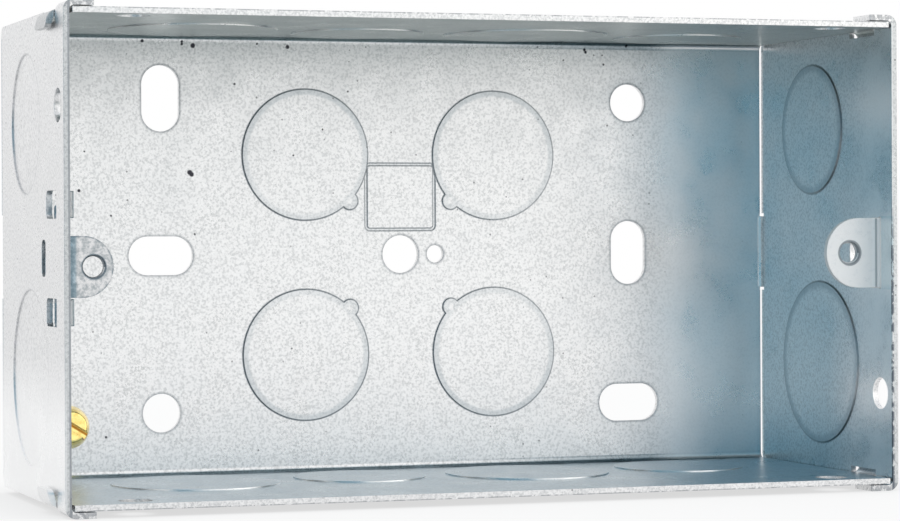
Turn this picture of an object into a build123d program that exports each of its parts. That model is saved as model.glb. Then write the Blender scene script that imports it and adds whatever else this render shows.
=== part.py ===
from build123d import *
import math
import os

# A two-gang metal back box, folded from one galvanised sheet. Sizes are in millimetres.
# X runs along the box, the open front faces -Y and +Z is up. The origin is on the outer
# face of the back, at the centre of the middle fixing hole.

# Sheet and shell
sheet = 0.9                  # thickness of the sheet
inside_length = 130.0        # between the two end walls
inside_height = 70.0         # between the two long walls
depth = 47.0                 # outer face of the back to the front rim
bend_radius = 0.85           # inside radius of the folds round the back
slit_width = 0.3             # open slit in the back, beside each end wall
bridge_width = 12.0          # strip that joins an end wall to the back
bridge_relief = 0.5          # small gap at each side of that strip
end_wall_rear_gap = 0.9      # the end walls stop this far short of the outer back face
butt_gap = 0.25              # long walls stop this far short of the end walls

# Corner locks: a front tab of the end wall over the long wall, and behind it a side tab
# of the long wall through a notch, folded down the outside of the end wall
front_tab_gap = 0.15         # between a front tab and the long wall under it
front_tab_bend = 0.7         # inside radius of its fold
front_corner_gap = 0.45      # the long wall is cut back this far from the end wall under it
front_tab_depth = 5.6        # along Y, from the rim
front_tab_reach = 2.9        # flat length over the long wall
notch_length = 8.3           # along Y, behind the front tab
side_tab_length = 7.4        # along Y, inside the notch
side_tab_reach = 1.8         # below the long wall's inner face
side_tab_corner = 0.7
side_tab_gap = 0.05          # from the end wall, if it were folded square
side_tab_bend = 0.9          # inside radius of its fold
side_tab_spring = 11.0       # its fold is this many degrees short of square

# Knockouts: discs sheared half through and left standing proud on the inside
knockout_step = 0.2
knockout_small = 21.0        # for 20 mm conduit
knockout_large = 26.2        # for 25 mm conduit
end_small_height = 20.1      # above the middle of each end wall
end_large_drop = 17.9        # below the middle
end_small_from_rim = 27.2
end_large_from_rim = 24.4
long_pitch = 27.4            # the row of four in each long wall
long_shift = 1.9             # the row's middle lies this far towards the fixed lug
long_large_from_rim = 29.7
long_small_from_rim = 32.0

# Small round holes in the walls, close behind the rim
wall_hole = 5.0
wall_hole_from_rim = 4.0
end_hole_height = 22.0       # above the middle on the left, below it on the right
long_hole_half_pitch = 55.7
long_hole_shift = 1.1        # their middle lies this far towards the fixed lug
long_hole_from_rim = 4.8

# Back: fixing holes and slots, knockouts and the pressed panel
fixing_hole = 6.2
fixing_slot = 10.6           # end to end
fixing_x = 40.3
fixing_z = 25.1
pilot_hole = 2.9
pilot_x = 6.0
back_knockout = 21.2
back_knockout_pitch = 32.4
back_bump = 2.8              # round bump on each outline, towards the middle
panel_width = 12.2
panel_height = 11.1
panel_middle_z = 9.35
panel_corner = 0.9
panel_groove_width = 0.45
panel_groove_depth = 0.15
panel_clearance = 0.15       # the groove stops this far from the knockouts

# Lugs for the M3.5 screws of the accessory
lug_inset = 4.7              # end wall to the middle of the hole, so the two are 120.6 apart
lug_bore = 3.5
lug_collar = 5.0             # drawn collar behind each hole, for the thread
lug_collar_height = 0.7

# Fixed lug: lanced from the right end wall and bent in, its D-shaped window left behind
fixed_lug_width = 10.9
fixed_lug_tip = 4.0          # beyond the middle of its hole
fixed_lug_from_rim = 5.0     # rim to the lug's front face
fixed_lug_bend = 1.0
fixed_lug_relief = 0.4       # small square relief at each end of its fold
fixed_lug_shear = 0.05       # gap between the fold and the wall at each side

# Adjustable lug: a separate T-shaped piece that slides along Z behind two hooks
ear_sheet = 1.0
ear_width = 8.9
ear_tip = 2.9
ear_from_rim = 5.8
ear_bend = 0.6
ear_wall_gap = 0.1           # between its base plate and the wall
wing_width = 17.8
wing_from_rim = 8.1          # rim to the wings' front edge
wing_depth = 3.5
wing_corner = 0.8
tongue_width = 5.2
tail_width = 2.7             # bent end of the tongue, in the slot of the wall
tail_depth = 0.6
tail_sheet = 0.9
travel = 1.2                 # each way from the middle; the lug rests at the lower end

# Hooks and windows in the left end wall, and the slot for the lug's tail
hook_inner_z = 5.85
hook_width = 3.9
hook_gap = 0.15              # between a hook and the lug's wing
hook_from_rim = 5.3          # rim to the window's front edge, where the hook is rooted
hook_joggle = 1.9            # length of its inward slope
hook_tip_from_rim = 11.7
hook_bend = 0.4
window_length = 7.0
window_clearance = 0.1
window_corner = 0.8
slot_length = 5.4
slot_width = 2.8
slot_from_rim = 12.9
slot_corner = 0.9

# Earth screw: slotted brass head on an M4 shank in the back
screw_from_end = 9.35        # its middle, from the inside of the left end wall
screw_from_floor = 8.05      # and from the inside of the lower long wall
screw_shank = 4.0
screw_hole_clearance = 0.05  # on the radius
screw_head = 6.8
screw_head_top = 4.6
screw_head_height = 3.5
screw_head_rim = 0.7         # height of the straight rim
screw_head_shoulder = 5.9    # width where the side turns steeper, half way up
screw_seat_gap = 0.3
screw_slot_width = 1.1
screw_slot_depth = 1.2
screw_slot_angle = -32.0
screw_end_inset = 0.1        # its end stops short of the outer face

# Worked out from the sizes above
half_length = inside_length / 2
half_height = inside_height / 2
outer_height = inside_height + 2 * sheet
lug_x = half_length - lug_inset
screw_x = screw_from_end - half_length
screw_z = screw_from_floor - half_height
over = 2.0                   # how far a cutting tool runs past a face


def block(x0, x1, y0, y1, z0, z1):
    # a box given by its two ends along each axis
    middle = Pos((x0 + x1) / 2, (y0 + y1) / 2, (z0 + z1) / 2)
    return middle * Box(abs(x1 - x0), abs(y1 - y0), abs(z1 - z0))


def rod(at, along, diameter, start, end):
    # a cylinder on the line through a point, from one distance along it to another
    axis = Vector(*along)
    plane = Plane(origin=Vector(*at) + axis * start, z_dir=axis)
    return extrude(plane * Circle(diameter / 2), amount=end - start)


def quarter_bend(inside, thickness):
    # section of a right-angled fold: a quarter ring in the corner of +x and +y
    outside = inside + thickness
    ring = Circle(outside) - Circle(inside)
    return ring & Rectangle(2 * outside, 2 * outside, align=(Align.MIN, Align.MIN))


def d_shape(width, straight):
    # a rounded tongue along -x: the middle of its round end is the origin
    flat = Rectangle(straight, width, align=(Align.MIN, Align.CENTER))
    left_half = Rectangle(width, width, align=(Align.MAX, Align.CENTER))
    return (Circle(width / 2) & left_half) + flat


def bent_strip(points, bend, thickness, width):
    # a strip of sheet along a line in the XY plane, folded with rounded corners
    line = FilletPolyline(*points, radius=bend + thickness / 2)
    return extrude(trace(line, line_width=thickness), amount=width / 2, both=True)


def u_strip():
    # the back with the two long walls, bent from one strip
    outer = Rectangle(depth, outer_height, align=(Align.MAX, Align.CENTER))
    outer = fillet(outer.vertices().group_by(Axis.X)[-1], bend_radius + sheet)
    inner = Rectangle(depth, inside_height, align=(Align.MAX, Align.CENTER))
    inner = Pos(-sheet, 0) * inner
    inner = fillet(inner.vertices().group_by(Axis.X)[-1], bend_radius)
    strip = extrude(Plane.YZ * (outer - inner), amount=half_length - butt_gap, both=True)
    # the back itself stops at the slits beside the end walls
    reach = sheet + bend_radius
    edge = half_length - slit_width
    half = outer_height / 2 + over
    corner = half_length - front_corner_gap
    for side in (-1, 1):
        strip -= block(side * edge, side * (half_length + over), -reach, over, -half, half)
        # and the front corners of the long walls leave room for the folds of the front tabs
        strip -= block(side * corner, side * (half_length + over), -depth - over,
                       -depth + front_tab_depth, -half, half)
    return strip


def end_wall():
    # the right end wall, with the bridge to the back; the left one is its mirror image
    outside = half_length + sheet
    top = outer_height / 2
    rear = -end_wall_rear_gap
    wall = block(half_length, outside, -depth, rear, -top, top)
    rear_edges = wall.edges().filter_by(Axis.X).group_by(Axis.Y)[-1]
    wall = fillet(rear_edges, bend_radius + sheet)

    # bridge: the fold that still joins this wall to the back
    half_notch = bridge_width / 2 + bridge_relief
    fold_y = -(sheet + bend_radius)
    wall -= block(half_length - over, outside + over, fold_y, over, -half_notch, half_notch)
    section = Pos(half_length - bend_radius, fold_y) * quarter_bend(bend_radius, sheet)
    bridge = extrude(section, amount=bridge_width / 2, both=True)
    inner_end = half_length - slit_width - over
    bridge += block(inner_end, half_length - bend_radius, -sheet, 0, -bridge_width / 2, bridge_width / 2)
    wall += bridge

    for side in (-1, 1):
        wall = corner_of_end_wall(wall, side)
    return wall


def corner_of_end_wall(wall, side):
    # notch for the long wall's tab, and the front tab folded over the long wall
    outside = half_length + sheet
    notch_start = -depth + front_tab_depth
    floor = half_height - side_tab_bend
    wall -= block(half_length - over, outside + over, notch_start, notch_start + notch_length,
                  side * floor, side * (outer_height / 2 + over))
    flat_z = outer_height / 2 + front_tab_gap
    fold_z = flat_z - front_tab_bend
    wall -= block(half_length - over, outside + over, -depth - over, notch_start,
                  side * fold_z, side * (outer_height / 2 + over))
    section = Plane.XZ * Pos(half_length - front_tab_bend, fold_z) * quarter_bend(front_tab_bend, sheet)
    tab = extrude(Pos(0, -depth, 0) * section, amount=-front_tab_depth)
    flat_end = half_length - front_tab_bend
    tab += block(flat_end - front_tab_reach, flat_end, -depth, notch_start, flat_z, flat_z + sheet)
    if side < 0:
        tab = mirror(tab, about=Plane.XY)
    return wall + tab


def side_tab():
    # tab of the upper long wall at the right end, folded down outside the end wall
    notch_middle = -depth + front_tab_depth + notch_length / 2
    middle_z = half_height + sheet / 2
    outside = half_length + sheet
    corner_x = outside + side_tab_gap + sheet / 2
    tip_z = half_height - side_tab_reach
    lean = math.tan(math.radians(side_tab_spring))
    root = (half_length - butt_gap - over, middle_z)
    end = (corner_x + (middle_z - tip_z + sheet) * lean, tip_z - sheet)
    strip = bent_strip([root, (corner_x, middle_z), end], side_tab_bend, sheet, side_tab_length)
    tab = Pos(0, notch_middle, 0) * Rot(90, 0, 0) * strip
    # trimmed level at its tip, with round corners
    height = side_tab_reach + sheet + over
    outline = RectangleRounded(side_tab_length, height, side_tab_corner)
    outline = Pos(notch_middle, tip_z + height / 2) * outline
    return tab & extrude(Plane.YZ * outline, amount=half_length + 2 * over)


def knockout(body, at, inward, diameter):
    # a disc pushed in by one step: a recess outside and the same disc proud inside
    body -= rod(at, inward, diameter, -sheet - over, knockout_step - sheet)
    return body + rod(at, inward, diameter, -sheet / 2, knockout_step)


def wall_features(body):
    # knockouts and small holes of the four walls
    long_row = [(i - 1.5) * long_pitch + long_shift for i in range(4)]
    for side in (-1, 1):
        inward = (0, 0, -side)
        for i, x in enumerate(long_row):
            large = i % 2 == 0
            size = knockout_large if large else knockout_small
            from_rim = long_large_from_rim if large else long_small_from_rim
            body = knockout(body, (x, from_rim - depth, side * half_height), inward, size)
        for end in (-1, 1):
            x = long_hole_shift + end * long_hole_half_pitch
            at = (x, long_hole_from_rim - depth, side * half_height)
            body -= rod(at, inward, wall_hole, -sheet - over, over)
    for side in (-1, 1):
        inward = (-side, 0, 0)
        upper = (side * half_length, end_small_from_rim - depth, end_small_height)
        lower = (side * half_length, end_large_from_rim - depth, -end_large_drop)
        body = knockout(body, upper, inward, knockout_small)
        body = knockout(body, lower, inward, knockout_large)
        at = (side * half_length, wall_hole_from_rim - depth, -side * end_hole_height)
        body -= rod(at, inward, wall_hole, -sheet - over, over)
    return body


def back_outline(x_sign, z_sign):
    # outline of one knockout of the back, with its bump towards the middle
    middle = Pos(x_sign * back_knockout_pitch / 2, z_sign * back_knockout_pitch / 2)
    reach = back_knockout / 2 * math.sqrt(0.5)
    bump = Pos(-x_sign * reach, -z_sign * reach) * Circle(back_bump / 2)
    return middle * (Circle(back_knockout / 2) + bump)


def back_features(body):
    # looking from the open front: x is X, y is Z and the plane's normal points inward
    inner = Plane(origin=(0, -sheet, 0), x_dir=(1, 0, 0), z_dir=(0, -1, 0))
    outer = Plane(origin=(0, 0, 0), x_dir=(1, 0, 0), z_dir=(0, -1, 0))
    corners = [(-1, -1), (-1, 1), (1, -1), (1, 1)]
    for x_sign, z_sign in corners:
        outline = back_outline(x_sign, z_sign)
        body -= extrude(outer * outline, amount=knockout_step)
        body += extrude(inner.offset(-sheet / 2) * outline, amount=knockout_step + sheet / 2)

    # pressed panel: a shallow double outline, cut short where it meets the knockouts
    groove = RectangleRounded(panel_width, panel_height, panel_corner)
    inside = panel_width - 2 * panel_groove_width
    inside_rows = panel_height - 2 * panel_groove_width
    groove -= RectangleRounded(inside, inside_rows, panel_corner - panel_groove_width)
    groove = Pos(0, panel_middle_z) * groove
    for x_sign in (-1, 1):
        at = Pos(x_sign * back_knockout_pitch / 2, back_knockout_pitch / 2)
        groove -= at * Circle(back_knockout / 2 + panel_clearance)
    body -= extrude(inner * groove, amount=-panel_groove_depth)

    # fixing holes and slots: each column has one round hole, one upright and one level slot
    round_hole = Circle(fixing_hole / 2)
    level = SlotOverall(fixing_slot, fixing_hole)
    upright = Rot(0, 0, 90) * level
    left = [upright, level, round_hole]
    right = [round_hole, upright, level]
    rows = (fixing_z, 0, -fixing_z)
    for x, shapes in ((-fixing_x, left), (fixing_x, right)):
        for z, shape in zip(rows, shapes):
            body -= extrude(inner * Pos(x, z) * shape, amount=over, both=True)
    for x, size in ((0, fixing_hole), (pilot_x, pilot_hole)):
        body -= rod((x, 0, 0), (0, -1, 0), size, -over, over)
    size = screw_shank + 2 * screw_hole_clearance
    return body - rod((screw_x, 0, screw_z), (0, -1, 0), size, -over, over)


def fixed_lug(body):
    # window and lug are the same piece of wall, so the window is as long as the flat lug
    face_y = -depth + fixed_lug_from_rim
    fold_y = face_y - fixed_lug_bend
    flat_x = half_length - fixed_lug_bend
    tip_x = lug_x - fixed_lug_tip
    arc = (fixed_lug_bend + sheet / 2) * math.pi / 2
    unfolded = flat_x - tip_x + arc
    round_y = fold_y + unfolded - fixed_lug_width / 2
    straight = unfolded - fixed_lug_width / 2
    # seen from the right, so that x of the drawing runs from the round end to the fold
    side_view = Plane(origin=(half_length, round_y, 0), x_dir=(0, -1, 0), z_dir=(1, 0, 0))
    body -= extrude(side_view * d_shape(fixed_lug_width, straight), amount=over, both=True)
    half = fixed_lug_width / 2
    relief = fixed_lug_relief / 2
    for side in (-1, 1):
        body -= block(half_length - over, half_length + over, fold_y - relief, fold_y + relief,
                      side * half - relief, side * half + relief)

    mid_x = half_length + sheet / 2
    mid_y = face_y + sheet / 2
    points = [(mid_x, fold_y - relief), (mid_x, mid_y), (tip_x, mid_y)]
    strip = bent_strip(points, fixed_lug_bend, sheet, fixed_lug_width - 2 * fixed_lug_shear)
    ear = d_shape(fixed_lug_width, flat_x - tip_x - fixed_lug_width / 2)
    front = Plane(origin=(tip_x + fixed_lug_width / 2, face_y, 0), x_dir=(1, 0, 0), z_dir=(0, -1, 0))
    wide = extrude(front * ear, amount=-sheet)
    keep = front * d_shape(fixed_lug_width, 2 * fixed_lug_width)
    strip &= extrude(keep, amount=depth, both=True)
    body += wide + strip
    return tapped_hole(body, (lug_x, face_y, 0), sheet)


def tapped_hole(body, at, thickness):
    # the drawn collar behind a lug, and the bore through both
    back = (0, 1, 0)
    body += rod(at, back, lug_collar, thickness / 2, thickness + lug_collar_height)
    return body - rod(at, back, lug_bore, -over, thickness + lug_collar_height + over)


def hooks(body):
    # two L-shaped hooks lanced from the left end wall, rooted at their windows' front edge
    wall_x = -half_length - sheet / 2
    hook_x = -half_length + ear_wall_gap + ear_sheet + hook_gap + sheet / 2
    root_y = -depth + hook_from_rim
    slope_end = root_y + hook_joggle
    tip_y = -depth + hook_tip_from_rim
    points = [(wall_x, root_y - sheet / 2), (wall_x, root_y), (hook_x, slope_end), (hook_x, tip_y)]
    strip = bent_strip(points, hook_bend, sheet, hook_width)
    for side in (-1, 1):
        middle = side * (hook_inner_z + hook_width / 2)
        half = hook_width / 2 + window_clearance
        window = block(-half_length - sheet - over, -half_length + over, root_y,
                       root_y + window_length, middle - half, middle + half)
        window = fillet(window.edges().filter_by(Axis.X).group_by(Axis.Y)[-1], window_corner)
        body = body - window + Pos(0, 0, middle) * strip
    slot_y = -depth + slot_from_rim
    slot = block(-half_length - sheet - over, -half_length + over, slot_y, slot_y + slot_width,
                 -slot_length / 2, slot_length / 2)
    return body - fillet(slot.edges().filter_by(Axis.X), slot_corner)


def box_body():
    # everything that is folded from the one sheet
    body = u_strip()
    right = end_wall()
    tab = side_tab()
    for piece in (right, tab, mirror(tab, about=Plane.XY)):
        body += piece
        body += mirror(piece, about=Plane.YZ)
    body = wall_features(body)
    body = back_features(body)
    body = fixed_lug(body)
    return hooks(body)


def adjustable_lug():
    # the ear, its base plate with two wings, and the tongue whose tail sits in the slot
    face_y = -depth + ear_from_rim
    base_x = -half_length + ear_wall_gap
    mid_x = base_x + ear_sheet / 2
    mid_y = face_y + ear_sheet / 2
    tip_x = -lug_x + ear_tip
    wing_y = -depth + wing_from_rim
    wing_end = wing_y + wing_depth
    points = [(mid_x, wing_end), (mid_x, mid_y), (tip_x, mid_y)]
    lug = bent_strip(points, ear_bend, ear_sheet, ear_width)
    front = Plane(origin=(tip_x - ear_width / 2, face_y, 0), x_dir=(-1, 0, 0), z_dir=(0, 1, 0))
    lug &= extrude(front * d_shape(ear_width, 2 * ear_width), amount=depth, both=True)

    wings = block(base_x, base_x + ear_sheet, wing_y, wing_end, -wing_width / 2, wing_width / 2)
    lug += fillet(wings.edges().filter_by(Axis.X), wing_corner)

    slot_middle = -depth + slot_from_rim + slot_width / 2
    tail_y = slot_middle + tail_sheet / 2
    half = tongue_width / 2
    lug += block(base_x, base_x + ear_sheet, wing_end - wing_corner, tail_y, -half, half)
    tail_out = base_x - ear_wall_gap - tail_depth
    lug += block(tail_out, base_x + ear_sheet, tail_y - tail_sheet, tail_y, -tail_width / 2, tail_width / 2)
    lug = tapped_hole(lug, (-lug_x, face_y, 0), ear_sheet)
    return Pos(0, 0, -travel) * lug


def earth_screw():
    # turned about its own axis: z of the drawing runs from the tip of the shank to the head
    seat = sheet + screw_seat_gap
    top = seat + screw_head_height
    rim = seat + screw_head_rim
    half_way = (rim + top) / 2
    outline = [(0, screw_end_inset), (screw_shank / 2, screw_end_inset), (screw_shank / 2, seat),
               (screw_head / 2, seat), (screw_head / 2, rim), (screw_head_shoulder / 2, half_way),
               (screw_head_top / 2, top), (0, top)]
    screw = revolve(Plane.XZ * Polygon(*outline, align=None), axis=Axis.Z)
    slot = Pos(0, 0, top - screw_slot_depth / 2 + over / 2)
    screw -= slot * Box(2 * screw_head, screw_slot_width, screw_slot_depth + over)
    # stand the axis along -Y and turn the slot as it was left
    place = Plane(origin=(screw_x, 0, screw_z), x_dir=(1, 0, 0), z_dir=(0, -1, 0))
    return place * Rot(0, 0, screw_slot_angle) * screw


os.makedirs("parts", exist_ok=True)
pieces = {"box_body": box_body(), "adjustable_lug": adjustable_lug(), "earth_screw": earth_screw()}
for name, shape in pieces.items():
    solids = shape.solids()
    print(name, len(solids), "solid", round(shape.volume, 2), "mm3")
    export_step(Compound(solids) if len(solids) > 1 else solids[0], "parts/" + name + ".step")
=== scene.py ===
import math
import bmesh
import bpy
from mathutils import Matrix, Vector


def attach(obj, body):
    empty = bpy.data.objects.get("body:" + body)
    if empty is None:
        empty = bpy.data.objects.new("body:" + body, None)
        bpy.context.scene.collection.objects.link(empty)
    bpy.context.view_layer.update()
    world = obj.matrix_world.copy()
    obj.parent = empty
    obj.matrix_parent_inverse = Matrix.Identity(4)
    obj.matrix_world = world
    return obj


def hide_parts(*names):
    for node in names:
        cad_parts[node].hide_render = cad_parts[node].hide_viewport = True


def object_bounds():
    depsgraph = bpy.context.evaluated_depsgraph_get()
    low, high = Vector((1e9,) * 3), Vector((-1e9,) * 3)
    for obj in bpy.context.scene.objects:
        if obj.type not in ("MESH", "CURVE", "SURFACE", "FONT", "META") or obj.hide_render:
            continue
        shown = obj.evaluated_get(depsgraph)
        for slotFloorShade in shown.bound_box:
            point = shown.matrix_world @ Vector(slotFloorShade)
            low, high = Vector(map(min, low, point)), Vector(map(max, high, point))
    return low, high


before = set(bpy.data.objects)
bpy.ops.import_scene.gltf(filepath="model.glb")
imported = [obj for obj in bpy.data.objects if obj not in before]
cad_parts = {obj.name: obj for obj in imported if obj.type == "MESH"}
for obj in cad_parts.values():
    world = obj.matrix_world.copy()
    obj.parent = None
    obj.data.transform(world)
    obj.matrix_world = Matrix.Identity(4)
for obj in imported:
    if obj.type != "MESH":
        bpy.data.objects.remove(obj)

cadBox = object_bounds()
mm = 0.001
scene = bpy.context.scene
scene.view_settings.view_transform = "Standard"
lowest = cadBox[0].z


# Node helpers
def addNode(tree, kind, inputs=None, **settings):
    node = tree.nodes.new(kind)
    for key, value in settings.items():
        setattr(node, key, value)
    for key, value in (inputs or {}).items():
        if isinstance(value, bpy.types.NodeSocket):
            tree.links.new(value, node.inputs[key])
        else:
            node.inputs[key].default_value = value
    return node


def calc(tree, operation, a, b=0.0, clamp=False):
    node = addNode(tree, "ShaderNodeMath", {0: a, 1: b}, operation=operation, use_clamp=clamp)
    return node.outputs[0]


def product(tree, *values):
    total = values[0]
    for value in values[1:]:
        total = calc(tree, "MULTIPLY", total, value)
    return total


def smoothBand(tree, value, start, end, low=0.0, high=1.0):  # eases from low to high
    node = addNode(tree, "ShaderNodeMapRange", {"Value": value, "From Min": start, "From Max": end,
                                                "To Min": low, "To Max": high},
                   interpolation_type="SMOOTHSTEP")
    return node.outputs["Result"]


def thinLine(tree, value, middle, half, soft):  # 1 where value is near the middle
    away = calc(tree, "ABSOLUTE", calc(tree, "SUBTRACT", value, middle))
    return smoothBand(tree, away, half, half + soft, 1.0, 0.0)


def noise(tree, vector, scale, detail=2.0, rough=0.5):
    return addNode(tree, "ShaderNodeTexNoise", {"Vector": vector, "Scale": scale, "Detail": detail,
                                                "Roughness": rough}).outputs["Fac"]


def tint(tree, factor, dark, light, blend="MIX"):
    node = addNode(tree, "ShaderNodeMix", data_type="RGBA", blend_type=blend)
    for key, value in ((0, factor), (6, dark), (7, light)):
        if isinstance(value, bpy.types.NodeSocket):
            tree.links.new(value, node.inputs[key])
        else:
            node.inputs[key].default_value = value
    return node.outputs[2]


def grey(level):
    return (level, level, level, 1)


def surfaceNormal(tree):
    normal = addNode(tree, "ShaderNodeNewGeometry").outputs["Normal"]
    return addNode(tree, "ShaderNodeSeparateXYZ", {0: normal}).outputs


def reach(tree, a, b):  # distance from (0, 0)
    flat = addNode(tree, "ShaderNodeCombineXYZ", {0: a, 1: b}).outputs[0]
    return addNode(tree, "ShaderNodeVectorMath", {0: flat}, operation="LENGTH").outputs["Value"]


def roundDepth(tree, a, b, middle, radius, half=(0.0, 0.0)):  # how far inside a circle or a slot
    across = []
    for value, at, straight in ((a, middle[0], half[0]), (b, middle[1], half[1])):
        value = calc(tree, "SUBTRACT", value, at)
        if straight:
            value = calc(tree, "MAXIMUM", calc(tree, "SUBTRACT", calc(tree, "ABSOLUTE", value), straight), 0.0)
        across.append(value)
    return calc(tree, "SUBTRACT", radius, reach(tree, *across))


def startMaterial(name):
    material = bpy.data.materials.new(name)
    material.use_nodes = True
    tree = material.node_tree
    shader = tree.nodes["Principled BSDF"]
    place = addNode(tree, "ShaderNodeTexCoord").outputs["Object"]
    return material, tree, shader, place


# Zinc-coated sheet. Places of marks are in mm, as in the frame
zinc = {
    "light": (0.875, 0.875, 0.88, 1),
    "dark": (0.55, 0.562, 0.57, 1),
    "roughness": 0.30,
    "grainSize": 0.42 * mm,
    "fineSize": 0.2 * mm,
    "mottleSize": 7 * mm,
    "bump": 0.011 * mm,
    "edgeRound": 0.12 * mm,
    "line": (0.10, 0.13, 0.16, 1),       # painted shade along sheared outlines, and dirt in them
    "rimEdgeShade": (0.13, 0.15, 0.18, 1),
    "fleck": (0.05, 0.05, 0.06, 1),
    "tabShade": (0.60, 0.62, 0.63, 1),       # painted shade on the corner tabs
    "roofShade": (0.42, 0.50, 0.49, 1),       # painted shade inside the upper long wall
    "base": (0.63, 0.75, 0.82, 1),       # painted shade inside the lower long wall
    "band": (0.42, 0.47, 0.5, 1),        # soft shade inside an outline
    # painted light: paler places and bright edges
    "paintedLight": (1.0, 1.0, 1.0, 1),
    # painted shade: a stripe along the back's folds, the insides of its bends and parts of the end walls
    "foldShade": (0.80, 0.83, 0.85, 1),
    "longBendShade": (0.35, 0.43, 0.47, 1),
    "endBendShade": (0.60, 0.68, 0.72, 1),
    "wallShade": (0.72, 0.84, 0.88, 1),
    "endRim": (0.72, 0.74, 0.75, 1),
    "blotch": (0.42, 0.44, 0.46, 1),
    # painted shade along the hooks' sheared edge
    "hookEdgeShade": (0.20, 0.30, 0.33, 1),
    # painted light on the fixed lug's face
    "lug": (1.0, 0.97, 0.95, 1),
    "backKnockout": ((16.2, 16.2), 10.6),                # x, z and radius
    "backBump": ((8.705, 8.705), 1.4),
    "endKnockouts": (((-19.8, 20.1), 10.5), ((-22.6, -17.9), 13.1)),   # y, z and radius
    "longKnockouts": ((-39.2, -17.3, 13.1), (-11.8, -15.0, 10.5)),     # x of the first, y and radius
    "longPitch": 27.4,
    "panel": ((0, 9.35), 0.9, (5.2, 4.65)),
    "lugBore": ((60.3, 0), 1.75),
    "lineStrength": {"back": 0.66, "end": 0.36, "panel": 0.42, "hole": 0.32,
                     "outerBack": 0.35, "outerEnd": 0.15, "outerLong": 0.25},
    "bandStrength": {"back": 0.5, "end": 0.7, "panel": 0.2},
}
backHoles = [  # middle, radius and straight half lengths
    ((-40.3, 25.1), 3.1, (0, 2.2)), ((-40.3, 0), 3.1, (2.2, 0)), ((-40.3, -25.1), 3.1, (0, 0)),
    ((40.3, 25.1), 3.1, (0, 0)), ((40.3, 0), 3.1, (0, 2.2)), ((40.3, -25.1), 3.1, (2.2, 0)),
    ((0, 0), 3.1, (0, 0)), ((6, 0), 1.45, (0, 0)),
]
flecks = [  # x, z and radius
    (-43.2, 34.2, 0.28), (-36.7, 34.2, 0.24), (-36.7, 33.8, 0.24), (-34.9, 33.6, 0.42), (-35.5, 13.3, 0.42),
    (-35.2, 13.0, 0.4), (-8.9, 26.5, 0.16), (-13.3, 20.3, 0.16), (-18.3, 16.1, 0.16), (-49.4, -28.7, 0.2),
    (-28.0, 27.5, 0.2), (-19.1, 33.6, 0.34), (-24.2, 34.0, 0.2), (-53.6, 10.4, 0.26), (-48.4, 6.4, 0.16),
    (-34.7, 3.4, 0.16), (-52.7, 16.6, 0.14), (32.6, 33.9, 0.26), (32.8, 33.5, 0.26), (35.8, 33.0, 0.14),
    (36.0, 31.5, 0.18), (40.1, 34.6, 0.26), (36.6, 21.3, 0.15), (42.8, 26.2, 0.22), (28.8, 32.1, 0.16),
]


def sheetPlaces(tree, place):  # millimetres, and masks of the inner faces
    inMm = addNode(tree, "ShaderNodeVectorMath", {0: place, "Scale": 1000.0}, operation="SCALE").outputs[0]
    x, y, z = addNode(tree, "ShaderNodeSeparateXYZ", {0: inMm}).outputs
    absX, absZ = calc(tree, "ABSOLUTE", x), calc(tree, "ABSOLUTE", z)
    onBack = product(tree, smoothBand(tree, y, -1.35, -1.25), smoothBand(tree, y, -0.7, -0.6, 1.0, 0.0),
                     smoothBand(tree, absX, 64.7, 64.8, 1.0, 0.0))
    onEnd = product(tree, smoothBand(tree, absX, 64.6, 64.7), smoothBand(tree, absX, 65.2, 65.3, 1.0, 0.0))
    onLong = product(tree, smoothBand(tree, absZ, 34.6, 34.7), smoothBand(tree, absZ, 35.2, 35.3, 1.0, 0.0))
    return inMm, x, y, z, absX, absZ, onBack, onEnd, onLong


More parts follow.
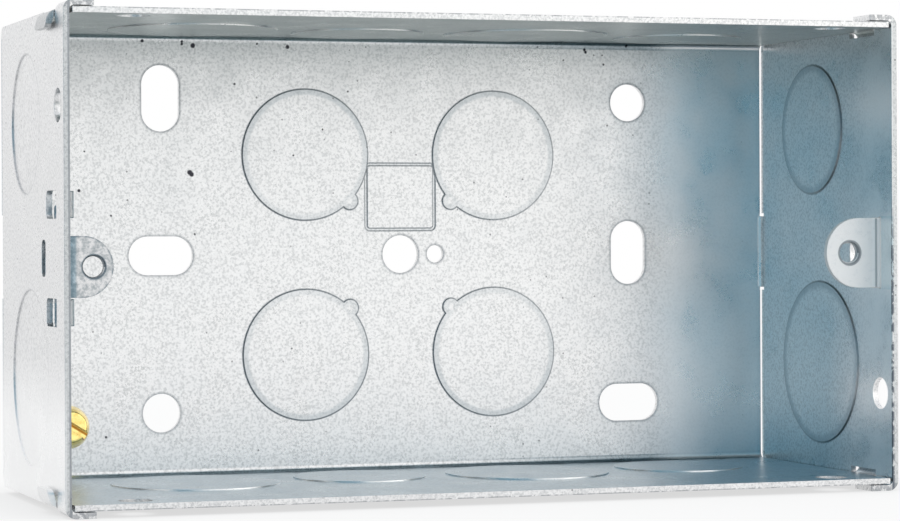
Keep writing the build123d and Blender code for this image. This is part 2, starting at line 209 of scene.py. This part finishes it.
def zincSkin(name, look):
    material, tree, shader, place = startMaterial(name)
    inMm, x, y, z, absX, absZ, onBack, onEnd, onLong = sheetPlaces(tree, place)

    # grain: read a little aside, so that the discs have the same one as the plate
    slid = addNode(tree, "ShaderNodeMapping", {"Vector": place, "Location": (0, -0.05 * mm, 0)})
    grain = noise(tree, slid.outputs["Vector"], 1 / look["grainSize"], 2.0, 0.6)
    fine = noise(tree, place, 1 / look["fineSize"], 1.0, 0.5)
    mottle = noise(tree, place, 1 / look["mottleSize"], 3.0, 0.55)
    speck = smoothBand(tree, grain, 0.34, 0.58)
    cloud = smoothBand(tree, mottle, 0.25, 0.70)
    mixed = calc(tree, "ADD", product(tree, speck, 0.62), product(tree, cloud, 0.24))
    mixed = calc(tree, "ADD", mixed, product(tree, smoothBand(tree, fine, 0.3, 0.65), 0.22), True)
    colour = tint(tree, mixed, look["dark"], look["light"])

    # knockouts: painted shade, a thin dark line at the sheared edge and a soft band inside it
    wobble = product(tree, calc(tree, "SUBTRACT", noise(tree, inMm, 0.9, 2.0), 0.5), 0.35)
    disc = roundDepth(tree, absX, absZ, *look["backKnockout"])
    bump = roundDepth(tree, absX, absZ, *look["backBump"])
    backDepth = calc(tree, "MAXIMUM", disc, bump)
    backLine = thinLine(tree, backDepth, -0.03, 0.06, 0.15)
    side = calc(tree, "ADD", product(tree, x, 0.06), product(tree, z, 0.03))  # fainter to the upper right
    backLine = product(tree, backLine, smoothBand(tree, calc(tree, "ADD", side, wobble), -1.6, 2.2, 1.0, 0.6))
    upper = smoothBand(tree, calc(tree, "SUBTRACT", absZ, look["backKnockout"][0][1]), -9.0, 6.0, 0.55, 1.0)
    backBand = product(tree, smoothBand(tree, backDepth, -0.1, 0.1),
                       smoothBand(tree, calc(tree, "ADD", backDepth, wobble), 0.65, 1.15, 1.0, 0.0), upper)

    inDepth = None
    for middle, radius in look["endKnockouts"]:
        depth = roundDepth(tree, y, z, middle, radius)
        inDepth = depth if inDepth is None else calc(tree, "MAXIMUM", inDepth, depth)
    endLine = thinLine(tree, inDepth, -0.05, 0.08, 0.2)
    endBand = product(tree, smoothBand(tree, inDepth, -0.3, 0.1),
                      smoothBand(tree, calc(tree, "ADD", inDepth, product(tree, wobble, 2.0)), 0.4, 1.7, 1.0, 0.0))

    longDepth = None
    for start, middle, radius in look["longKnockouts"]:
        along = addNode(tree, "ShaderNodeMath", {0: calc(tree, "SUBTRACT", x, start), 1: look["longPitch"],
                                                 2: -look["longPitch"]}, operation="WRAP").outputs[0]
        depth = roundDepth(tree, along, y, (0, middle), radius)
        longDepth = depth if longDepth is None else calc(tree, "MAXIMUM", longDepth, depth)
    longLine = thinLine(tree, longDepth, 0.0, 0.1, 0.15)

    # pressed panel and punched edges: painted shade along them
    panel = roundDepth(tree, x, z, *look["panel"])
    clear = smoothBand(tree, disc, -0.3, -0.1, 1.0, 0.0)
    panelLine = calc(tree, "MAXIMUM", thinLine(tree, panel, 0.02, 0.06, 0.12),
                     thinLine(tree, panel, 0.45, 0.06, 0.12))
    panelBand = thinLine(tree, panel, 0.2, 0.2, 0.3)
    holeEdge = None
    for middle, radius, half in backHoles:
        depth = roundDepth(tree, x, z, middle, radius, half)
        edge = thinLine(tree, depth, 0.0, 0.12, 0.32)
        holeEdge = edge if holeEdge is None else calc(tree, "MAXIMUM", holeEdge, edge)

    panelFace = product(tree, clear, onBack)
    strength = look["lineStrength"]
    lines = product(tree, backLine, onBack, strength["back"])
    for line, face, share in (
            (endLine, onEnd, strength["end"]),
            (panelLine, panelFace, strength["panel"]),
            (holeEdge, onBack, strength["hole"]),
            (backLine, smoothBand(tree, y, -0.35, -0.3), strength["outerBack"]),
            (endLine, smoothBand(tree, absX, 65.5, 65.55), strength["outerEnd"]),
            (longLine, smoothBand(tree, absZ, 35.5, 35.55), strength["outerLong"])):
        lines = calc(tree, "MAXIMUM", lines, product(tree, line, face, share))
    strength = look["bandStrength"]
    bands = product(tree, backBand, onBack, strength["back"])
    for band, face, share in ((endBand, onEnd, strength["end"]), (panelBand, panelFace, strength["panel"])):
        bands = calc(tree, "MAXIMUM", bands, product(tree, band, face, share))
    colour = tint(tree, bands, colour, look["band"])
    colour = tint(tree, lines, colour, look["line"])
    # painted highlight along the knockout outlines inside the long walls
    colour = tint(tree, product(tree, longLine, onLong, 0.8), colour, look["paintedLight"])

    # small dark flecks: some placed, many scattered
    shift = product(tree, wobble, 0.7)
    flat = addNode(tree, "ShaderNodeCombineXYZ", {0: calc(tree, "ADD", x, shift),
                                                  1: calc(tree, "SUBTRACT", z, shift)}).outputs[0]
    nearest = None
    for atX, atZ, radius in flecks:
        away = addNode(tree, "ShaderNodeVectorMath", {0: flat, 1: (atX, atZ, 0)}, operation="DISTANCE")
        away = calc(tree, "DIVIDE", away.outputs["Value"], radius)
        nearest = away if nearest is None else calc(tree, "MINIMUM", nearest, away)
    placed = product(tree, smoothBand(tree, nearest, 0.7, 1.2, 1.0, 0.0), onBack)
    cells = addNode(tree, "ShaderNodeTexVoronoi", {"Vector": inMm, "Scale": 0.7}, feature="F1")
    pick = addNode(tree, "ShaderNodeSeparateColor", {0: cells.outputs["Color"]}).outputs[0]
    rare = calc(tree, "GREATER_THAN", pick, 0.9)
    scattered = product(tree, smoothBand(tree, cells.outputs["Distance"], 0.07, 0.13, 1.0, 0.0), rare, 0.75)
    spots = calc(tree, "MAXIMUM", placed, scattered)
    colour = tint(tree, spots, colour, look["fleck"])

    # painted shade: on the corner tabs, the long walls' inner faces and a stripe along the folds
    tabs = smoothBand(tree, absX, 66.0, 66.25)
    colour = tint(tree, product(tree, tabs, 0.85), colour, look["tabShade"], "MULTIPLY")
    facing = surfaceNormal(tree)
    roofShade = product(tree, smoothBand(tree, z, 33.5, 34.5), smoothBand(tree, facing[2], -0.7, -0.3, 1.0, 0.0))
    colour = tint(tree, roofShade, colour, look["roofShade"], "MULTIPLY")
    base = product(tree, smoothBand(tree, z, -33.5, -34.5), smoothBand(tree, facing[2], 0.3, 0.7))
    colour = tint(tree, base, colour, look["base"], "MULTIPLY")
    fold = product(tree, smoothBand(tree, absZ, 30.5, 34.5), onBack)
    colour = tint(tree, product(tree, fold, 0.2), colour, look["foldShade"], "MULTIPLY")

    # inside of the bends round the back: painted shade, dark so that they don't shine
    inBend = product(tree, smoothBand(tree, y, -0.86, -0.88), smoothBand(tree, y, -1.9, -1.8))
    longBendShade = product(tree, inBend, smoothBand(tree, absZ, 33.85, 34.0), smoothBand(tree, x, 0.0, 40.0))
    colour = tint(tree, product(tree, longBendShade, 0.8), colour, look["longBendShade"], "MULTIPLY")
    endBendShade = product(tree, inBend, smoothBand(tree, absX, 63.85, 64.0),
                      smoothBand(tree, absZ, 34.0, 34.2, 1.0, 0.0))
    colour = tint(tree, product(tree, endBendShade, 0.6), colour, look["endBendShade"], "MULTIPLY")

    # inside of the end walls: painted light, paler towards the rim, in blotches
    pale = product(tree, onEnd, smoothBand(tree, y, -30.0, -44.0),
                   smoothBand(tree, mottle, 0.3, 0.6, 0.3, 1.0), 0.85)
    colour = tint(tree, pale, colour, look["paintedLight"])

    # back beside the fixed lug's wall: painted light, paler
    paintedLight = product(tree, onBack, smoothBand(tree, x, 43.0, 50.0), 0.75)
    colour = tint(tree, paintedLight, colour, look["paintedLight"])

    # walls: painted shade behind the fixed lug and low on its side, painted light low on the left outside
    shadedLow = product(tree, onEnd, smoothBand(tree, y, -35.0, -24.0), smoothBand(tree, z, 4.0, -12.0))
    shadedLug = product(tree, onEnd, smoothBand(tree, y, -43.3, -43.5),
                        smoothBand(tree, absZ, 5.6, 5.8, 1.0, 0.0))
    shaded = product(tree, calc(tree, "MAXIMUM", shadedLow, shadedLug), smoothBand(tree, x, 0.0, 1.0))
    colour = tint(tree, product(tree, shaded, 0.8), colour, look["wallShade"], "MULTIPLY")
    paleLow = product(tree, smoothBand(tree, x, -65.6, -65.7), smoothBand(tree, z, -12.0, -26.0), 0.8)
    colour = tint(tree, paleLow, colour, look["paintedLight"])

    # the cut edges of the end walls: darker than their faces
    endRim = product(tree, smoothBand(tree, y, -46.9, -46.95), smoothBand(tree, absX, 64.9, 64.95))
    colour = tint(tree, endRim, colour, look["endRim"], "MULTIPLY")

    # the two hooks: painted light, with painted shade along their sheared edge
    hook = product(tree, smoothBand(tree, x, -64.9, -64.8), smoothBand(tree, x, -62.0, -61.8, 1.0, 0.0),
                   smoothBand(tree, y, -34.8, -35.0), smoothBand(tree, absZ, 5.6, 5.7),
                   smoothBand(tree, absZ, 10.0, 10.1, 1.0, 0.0))
    colour = tint(tree, product(tree, hook, 0.8), colour, look["paintedLight"])
    hookSides = calc(tree, "MAXIMUM", smoothBand(tree, absZ, 9.55, 9.65), smoothBand(tree, absZ, 6.05, 5.95))
    hookEdgeShade = calc(tree, "MAXIMUM", smoothBand(tree, x, -63.2, -63.05), hookSides)
    colour = tint(tree, product(tree, hookEdgeShade, hook, 0.7), colour, look["hookEdgeShade"])

    # front rim: painted shade, a dark line at its inner edge, broken on the right, and a fine one outside
    onRim = smoothBand(tree, y, -46.6, -46.75)
    broken = smoothBand(tree, noise(tree, inMm, 0.95, 3.0, 0.7), 0.42, 0.52)
    rightSide = product(tree, smoothBand(tree, x, 64.0, 64.2), smoothBand(tree, z, 12.0, -2.0), broken, 0.95)
    leftSide = product(tree, smoothBand(tree, x, -64.0, -64.2), 0.62)
    inner = product(tree, thinLine(tree, absX, 65.08, 0.16, 0.1), calc(tree, "ADD", rightSide, leftSide))
    outer = product(tree, smoothBand(tree, absZ, 35.7, 35.8), broken, 0.5)
    rimShadeLines = product(tree, calc(tree, "MAXIMUM", inner, outer), onRim)
    blotched = product(tree, onRim, smoothBand(tree, noise(tree, inMm, 1.6, 3.0, 0.65), 0.5, 0.62), 0.28)
    colour = tint(tree, blotched, colour, look["blotch"])
    colour = tint(tree, rimShadeLines, colour, look["rimEdgeShade"])

    # fixed lug: painted light, bright in patches, with painted shade along its fold and round its bore
    lug = product(tree, smoothBand(tree, absZ, 5.5, 5.6, 1.0, 0.0), smoothBand(tree, x, 55, 55.2),
                  smoothBand(tree, x, 65.2, 65.4, 1.0, 0.0), smoothBand(tree, y, -40.2, -40.4),
                  smoothBand(tree, y, -43.6, -43.4))
    lightPatches = smoothBand(tree, noise(tree, inMm, 1.1, 3.0, 0.6), 0.52, 0.66, 1.0, 0.75)
    colour = tint(tree, product(tree, lug, lightPatches), colour, look["lug"])
    lugFoldShade = thinLine(tree, x, 64.72, 0.05, 0.12)
    colour = tint(tree, product(tree, lugFoldShade, lug, 0.6), colour, look["line"])
    lugRingShade = thinLine(tree, roundDepth(tree, x, z, *look["lugBore"]), -0.08, 0.1, 0.2)
    colour = tint(tree, product(tree, lugRingShade, lug, 0.75), colour, look["line"])

    tree.links.new(colour, shader.inputs["Base Color"])
    metal = calc(tree, "SUBTRACT", 1.0, lug)
    tree.links.new(metal, shader.inputs["Metallic"])
    rough = smoothBand(tree, calc(tree, "ADD", mottle, product(tree, fine, 0.4)), 0.4, 1.0,
                       look["roughness"] - 0.05, look["roughness"] + 0.08)
    tree.links.new(calc(tree, "ADD", rough, product(tree, lines, 0.3)), shader.inputs["Roughness"])
    edge = addNode(tree, "ShaderNodeBevel", {"Radius": look["edgeRound"]}, samples=4)
    height = calc(tree, "ADD", grain, product(tree, fine, 0.4))
    bump = addNode(tree, "ShaderNodeBump", {"Height": height, "Strength": 0.7, "Distance": look["bump"],
                                            "Normal": edge.outputs[0]})
    tree.links.new(bump.outputs[0], shader.inputs["Normal"])
    return material


# Plated lug: darker, blotched where it was handled
plate = {
    "light": (0.70, 0.70, 0.71, 1),
    "dark": (0.38, 0.41, 0.43, 1),
    "root": (0.52, 0.65, 0.72, 1),      # painted shade beside the wall
    "rootEdge": -62.9,
    "roughness": 0.30,
    "edgeRound": 0.12 * mm,
    "middle": (-61.85, -1.2),           # of the round end
    "radius": 4.45,
    "hole": (-60.3, -1.2),
    "bore": 1.75,
    # painted shade along its edge and round its hole
    "line": (0.13, 0.18, 0.22, 1),
    "bump": 0.012 * mm,
}


def plateSkin(name, look):
    material, tree, shader, place = startMaterial(name)
    inMm, x, y, z, absX, absZ, onBack, onEnd, onLong = sheetPlaces(tree, place)
    blotch = noise(tree, inMm, 0.75, 3.0, 0.6)
    grain = noise(tree, inMm, 3.0, 2.0, 0.6)
    mixed = calc(tree, "ADD", product(tree, smoothBand(tree, blotch, 0.4, 0.62), 0.6),
                 product(tree, smoothBand(tree, grain, 0.3, 0.65), 0.4), True)
    colour = tint(tree, mixed, look["dark"], look["light"])
    # painted shade beside the wall, with a ragged edge
    ragged = calc(tree, "ADD", x, product(tree, blotch, 0.5))
    rootShaded = smoothBand(tree, ragged, look["rootEdge"] + 0.45, look["rootEdge"])
    colour = tint(tree, rootShaded, colour, look["root"], "MULTIPLY")

    # painted shade along its D-shaped edge and round its hole
    past = calc(tree, "MAXIMUM", calc(tree, "SUBTRACT", x, look["middle"][0]), 0.0)
    depth = roundDepth(tree, past, z, (0, look["middle"][1]), look["radius"])
    front = smoothBand(tree, y, -40.0, -40.3)
    patchy = smoothBand(tree, noise(tree, inMm, 0.8, 2.0), 0.42, 0.56, 0.2, 1.0)
    rim = product(tree, smoothBand(tree, depth, 0.04, 0.3, 1.0, 0.0), front, patchy)
    ringDepth = roundDepth(tree, x, z, look["hole"], look["bore"])
    ring = product(tree, thinLine(tree, ringDepth, 0.0, 0.06, 0.16), front)
    lines = calc(tree, "MAXIMUM", product(tree, rim, 0.75), product(tree, ring, 0.8))
    colour = tint(tree, lines, colour, look["line"])
    tree.links.new(colour, shader.inputs["Base Color"])
    shader.inputs["Metallic"].default_value = 1.0
    tree.links.new(smoothBand(tree, blotch, 0.3, 0.7, look["roughness"] + 0.08, look["roughness"] - 0.06),
                   shader.inputs["Roughness"])
    edge = addNode(tree, "ShaderNodeBevel", {"Radius": look["edgeRound"]}, samples=4)
    bump = addNode(tree, "ShaderNodeBump", {"Height": grain, "Strength": 0.7, "Distance": look["bump"],
                                            "Normal": edge.outputs[0]})
    tree.links.new(bump.outputs[0], shader.inputs["Normal"])
    return material


# Turned brass
brass = {
    "light": (1.0, 0.84, 0.32, 1),
    "dark": (0.90, 0.64, 0.20, 1),
    # painted shade in the slot
    "slot": (0.40, 0.17, 0.02, 1),
    "roughness": 0.22,
    "middle": (-55.65, -26.95),
    "slotAngle": -32.0,
    "slotHalf": 0.55,
    "edgeRound": 0.18 * mm,
    "stainScale": 1200,
    "turnScale": 9.0,       # tool marks per mm
    "bump": 0.01 * mm,
}


def brassSkin(name, look):
    material, tree, shader, place = startMaterial(name)
    inMm, x, y, z, absX, absZ, onBack, onEnd, onLong = sheetPlaces(tree, place)
    stain = noise(tree, place, look["stainScale"], 3.0, 0.6)
    colour = tint(tree, smoothBand(tree, stain, 0.3, 0.62), look["dark"], look["light"])
    angle = math.radians(look["slotAngle"])
    fromX = calc(tree, "SUBTRACT", x, look["middle"][0])
    fromZ = calc(tree, "SUBTRACT", z, look["middle"][1])
    across = calc(tree, "ADD", product(tree, fromX, -math.sin(angle)), product(tree, fromZ, math.cos(angle)))
    # painted shade on the slot's walls and along one side of its floor
    facing = surfaceNormal(tree)
    wall = smoothBand(tree, calc(tree, "ABSOLUTE", facing[1]), 0.5, 0.8, 1.0, 0.0)
    inHead = smoothBand(tree, y, -3.0, -3.2)
    half = look["slotHalf"]
    slotWallShade = product(tree, smoothBand(tree, calc(tree, "ABSOLUTE", across), half, half + 0.1, 1.0, 0.0), wall, inHead)
    slotFloorShade = product(tree, smoothBand(tree, across, half - 0.42, half - 0.22),
                     smoothBand(tree, across, half + 0.02, half + 0.08, 1.0, 0.0),
                     smoothBand(tree, y, -4.4, -4.2), inHead)
    colour = tint(tree, calc(tree, "MAXIMUM", slotWallShade, slotFloorShade), colour, look["slot"])
    radius = reach(tree, fromX, fromZ)
    rings = addNode(tree, "ShaderNodeCombineXYZ", {0: product(tree, radius, look["turnScale"]),
                                                   1: product(tree, y, look["turnScale"])}).outputs[0]
    turned = noise(tree, rings, 1.0, 1.0)
    colour = tint(tree, product(tree, smoothBand(tree, turned, 0.52, 0.7), 0.25), colour, look["dark"])
    tree.links.new(colour, shader.inputs["Base Color"])
    shader.inputs["Metallic"].default_value = 1.0
    shader.inputs["Roughness"].default_value = look["roughness"]
    edge = addNode(tree, "ShaderNodeBevel", {"Radius": look["edgeRound"]}, samples=6)
    bump = addNode(tree, "ShaderNodeBump", {"Height": turned, "Strength": 0.5, "Distance": look["bump"],
                                            "Normal": edge.outputs[0]})
    tree.links.new(bump.outputs[0], shader.inputs["Normal"])
    return material


zincSheet = zincSkin("zincSheet", zinc)
platedLug = plateSkin("platedLug", plate)
brassTurned = brassSkin("brassTurned", brass)
skins = {"box_body": zincSheet, "adjustable_lug": platedLug, "earth_screw": brassTurned}
for nodeName, skin in skins.items():
    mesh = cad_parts[nodeName].data
    mesh.materials.clear()
    mesh.materials.append(skin)
print("finishes put on", len(skins), "nodes")


# Threads of the two lugs: one helical ridge in each bore
thread = {
    "bore": 1.75 * mm,
    "ridge": 0.27 * mm,
    "pitch": 0.6 * mm,
    "inset": 0.1 * mm,       # kept clear of both ends
    "sunk": 0.03 * mm,       # foot of the ridge, in the wall of the bore
    "footShare": 0.42,       # half the foot's width, of the pitch
    "stepsPerTurn": 32,
}
boredLugs = {                # x, y of the front face, z, length of the bore, body, slot and skin
    "fixed_lug_thread": (60.3, -42.0, 0.0, 1.6, "box", "galvanised_sheet", zincSheet),
    "sliding_lug_thread": (-60.3, -41.2, -1.2, 1.7, "lug", "plated_lug", platedLug),
}


def makeThread(name, look, at, length):
    bm = bmesh.new()
    base, half = look["bore"] + look["sunk"], look["pitch"] * look["footShare"]
    corners = [bm.verts.new(co) for co in ((base, -half, 0), (base - look["ridge"], 0, 0), (base, half, 0))]
    start = bm.faces.new(corners)
    run = length - 2 * (look["inset"] + half)
    turns = run / look["pitch"]
    steps = round(turns * look["stepsPerTurn"])
    bmesh.ops.spin(bm, geom=[start] + list(start.edges) + corners, cent=(0, 0, 0), axis=(0, 1, 0),
                   dvec=(0, run / steps, 0), angle=turns * 2 * math.pi, steps=steps, use_merge=False)
    bmesh.ops.remove_doubles(bm, verts=bm.verts, dist=1e-7)
    openEdges = [edge for edge in bm.edges if edge.is_boundary]
    if openEdges:
        bmesh.ops.holes_fill(bm, edges=openEdges, sides=0)
    bmesh.ops.translate(bm, verts=bm.verts, vec=(at[0], at[1] + look["inset"] + half, at[2]))
    bmesh.ops.recalc_face_normals(bm, faces=bm.faces)
    print(name, len(bm.faces), "faces,", sum(not edge.is_manifold for edge in bm.edges), "open edges")
    mesh = bpy.data.meshes.new(name)
    bm.to_mesh(mesh)
    bm.free()
    piece = bpy.data.objects.new(name, mesh)
    scene.collection.objects.link(piece)
    return piece


for pieceName, (x, y, z, length, body, slot, skin) in boredLugs.items():
    piece = makeThread(pieceName, thread, Vector((x, y, z)) * mm, length * mm)
    piece.data.materials.append(skin)
    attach(piece, body)
print("threads cut in", len(boredLugs), "lugs")


# Earth screw: a turned head with rounded edges, which leans up a little in its hole
screw = {
    "middle": (-55.65, -26.95),
    "profile": [(0, -0.3), (2.0, -0.3), (2.0, -1.15), (3.2, -1.2), (3.36, -1.3), (3.38, -1.75), (3.3, -1.95),
                (2.97, -3.2), (2.86, -3.6), (2.42, -4.48), (2.28, -4.6), (2.05, -4.64), (0, -4.66)],  # radius and y
    "slot": (1.1, 1.15),     # width and depth
    "slotAngle": -32.0,
    "lean": 4.5,             # degrees
    "leanAt": -1.2,          # y of the point that it leans about
    "steps": 96,
}


def makeScrew(look):
    bm = bmesh.new()
    points = [bm.verts.new((radius * mm, y * mm, 0)) for radius, y in look["profile"]]
    edges = [bm.edges.new(pair) for pair in zip(points, points[1:])]
    bmesh.ops.spin(bm, geom=points + edges, cent=(0, 0, 0), axis=(0, 1, 0), angle=2 * math.pi,
                   steps=look["steps"], use_merge=True)
    bmesh.ops.remove_doubles(bm, verts=bm.verts, dist=1e-6)
    bmesh.ops.recalc_face_normals(bm, faces=bm.faces)
    cutter = bmesh.new()
    width, depth = look["slot"]
    bmesh.ops.create_cube(cutter, size=1.0)
    bmesh.ops.scale(cutter, verts=cutter.verts, vec=(12 * mm, 2 * depth * mm, width * mm))
    bmesh.ops.translate(cutter, verts=cutter.verts, vec=(0, look["profile"][-1][1] * mm, 0))
    parts = []
    for shape in (bm, cutter):
        mesh = bpy.data.meshes.new("earth_screw_head")
        shape.to_mesh(mesh)
        shape.free()
        parts.append(bpy.data.objects.new("earth_screw_head", mesh))
        scene.collection.objects.link(parts[-1])
    piece, knife = parts
    cut = piece.modifiers.new("slot", "BOOLEAN")
    cut.object, cut.operation, cut.solver = knife, "DIFFERENCE", "EXACT"
    bpy.context.view_layer.update()
    slotted = bpy.data.meshes.new_from_object(piece.evaluated_get(bpy.context.evaluated_depsgraph_get()))
    piece.modifiers.clear()
    bpy.data.objects.remove(knife)
    turn = Matrix.Translation(Vector((look["middle"][0], look["leanAt"], look["middle"][1])) * mm)
    turn @= Matrix.Rotation(-math.radians(look["lean"]), 4, "X")
    turn @= Matrix.Rotation(-math.radians(look["slotAngle"]), 4, "Y")
    turn @= Matrix.Translation((0, -look["leanAt"] * mm, 0))
    slotted.transform(turn)
    piece.data = slotted
    piece.name = "earth_screw_turned"
    return piece


piece = makeScrew(screw)
piece.data.materials.clear()
piece.data.materials.append(brassTurned)
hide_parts("earth_screw")
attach(piece, "box")
print("earth screw turned,", len(piece.data.polygons), "faces")


# Camera: the view of the photograph
view = {
    "place": Vector((-152.9, -451.6, 3.5)) * mm,
    "yaw": 17.7467,             # degrees to the right of +Y
    "pitch": 0.295,             # looking down a little
    "roll": -0.2774,
    "focalPixels": 2908.27,
    "middle": (350.0, 247.91),  # pixel that the lens axis meets
    "image": (900, 521),
    "sensor": 36.0,
}


def makeCamera(look):
    data = bpy.data.cameras.new("camera")
    camera = bpy.data.objects.new("camera", data)
    scene.collection.objects.link(camera)
    width, height = look["image"]
    data.sensor_width = look["sensor"]
    data.lens = look["focalPixels"] / width * look["sensor"]
    data.shift_x = (width / 2 - look["middle"][0]) / width
    data.shift_y = (look["middle"][1] - height / 2) / width
    data.clip_start = 0.01
    data.clip_end = 20
    turn = Matrix.Rotation(-math.radians(look["yaw"]), 4, "Z")
    turn @= Matrix.Rotation(math.pi / 2 - math.radians(look["pitch"]), 4, "X")
    turn @= Matrix.Rotation(math.radians(look["roll"]), 4, "Z")
    camera.matrix_world = Matrix.Translation(look["place"]) @ turn
    scene.camera = camera


makeCamera(view)
print("camera set")


# Floor and light: a white room behind, a large soft light to the front right, cool shade to the left
studio = {
    "floorSize": (1.0, 0.8),
    "floorMiddle": (0.0, 0.22),
    "floorShade": 0.85,
    "floorGlow": 0.88,          # share of plain white that the camera and metal see in the floor
    "contactShade": 0.74,
    "contactReach": 20 * mm,
    "back": (1.0, 1.0, 1.0, 1),
    "frontRight": (1.2, 1.2, 1.19, 1),
    "key": (1.75, 1.72, 1.66, 1),         # far to the right
    "frontLeft": (0.125, 0.335, 0.46, 1),
    "above": (0.95, 0.97, 1.0, 1),
    "below": (0.32, 0.37, 0.37, 1),
    "leftEdge": (-0.30, 0.06),            # where one light passes into the next, along the view's axes
    "keyEdge": (0.40, 0.62),
    "belowEdge": (-0.04, -0.28),
    "backEdge": (-0.35, 0.15),
    "aboveEdge": (0.45, 0.9),
}


def makeFloor(look):
    bm = bmesh.new()
    bmesh.ops.create_grid(bm, x_segments=1, y_segments=1, size=0.5)
    bmesh.ops.scale(bm, verts=bm.verts, vec=(look["floorSize"][0], look["floorSize"][1], 1))
    bmesh.ops.translate(bm, verts=bm.verts, vec=(look["floorMiddle"][0], look["floorMiddle"][1], lowest))
    mesh = bpy.data.meshes.new("floor")
    bm.to_mesh(mesh)
    bm.free()
    floor = bpy.data.objects.new("floor", mesh)
    scene.collection.objects.link(floor)
    material = bpy.data.materials.new("paleFloor")
    material.use_nodes = True
    tree = material.node_tree
    tree.nodes.clear()
    rays = addNode(tree, "ShaderNodeLightPath")
    plain = addNode(tree, "ShaderNodeBsdfDiffuse", {"Color": grey(look["floorShade"])})
    covered = addNode(tree, "ShaderNodeAmbientOcclusion", {"Distance": look["contactReach"]}, samples=8)
    shade = tint(tree, covered.outputs["AO"], grey(look["contactShade"]), grey(1.0))
    white = addNode(tree, "ShaderNodeEmission", {"Color": shade, "Strength": 1.0})
    seen = calc(tree, "MAXIMUM", rays.outputs["Is Camera Ray"], rays.outputs["Is Glossy Ray"])
    share = calc(tree, "MULTIPLY", calc(tree, "MAXIMUM", seen, rays.outputs["Is Transmission Ray"]),
                 look["floorGlow"])
    both = addNode(tree, "ShaderNodeMixShader", {0: share, 1: plain.outputs[0], 2: white.outputs[0]})
    out = addNode(tree, "ShaderNodeOutputMaterial")
    tree.links.new(both.outputs[0], out.inputs["Surface"])
    mesh.materials.append(material)


def makeWorld(look):
    world = bpy.data.worlds.new("studio")
    scene.world = world
    world.use_nodes = True
    tree = world.node_tree
    tree.nodes.clear()
    rays = addNode(tree, "ShaderNodeLightPath")
    way = addNode(tree, "ShaderNodeTexCoord").outputs["Generated"]
    x, y, z = addNode(tree, "ShaderNodeSeparateXYZ", {0: way}).outputs
    sky = tint(tree, smoothBand(tree, x, *look["leftEdge"]), look["frontLeft"], look["frontRight"])
    for value, edge, light in ((x, "keyEdge", "key"), (z, "belowEdge", "below"), (y, "backEdge", "back"),
                               (z, "aboveEdge", "above")):
        sky = tint(tree, smoothBand(tree, value, *look[edge]), sky, look[light])
    shown = tint(tree, rays.outputs["Is Camera Ray"], sky, look["back"])
    background = addNode(tree, "ShaderNodeBackground", {"Color": shown, "Strength": 1.0})
    out = addNode(tree, "ShaderNodeOutputWorld")
    tree.links.new(background.outputs[0], out.inputs["Surface"])


makeFloor(studio)
makeWorld(studio)
print("floor and light set")
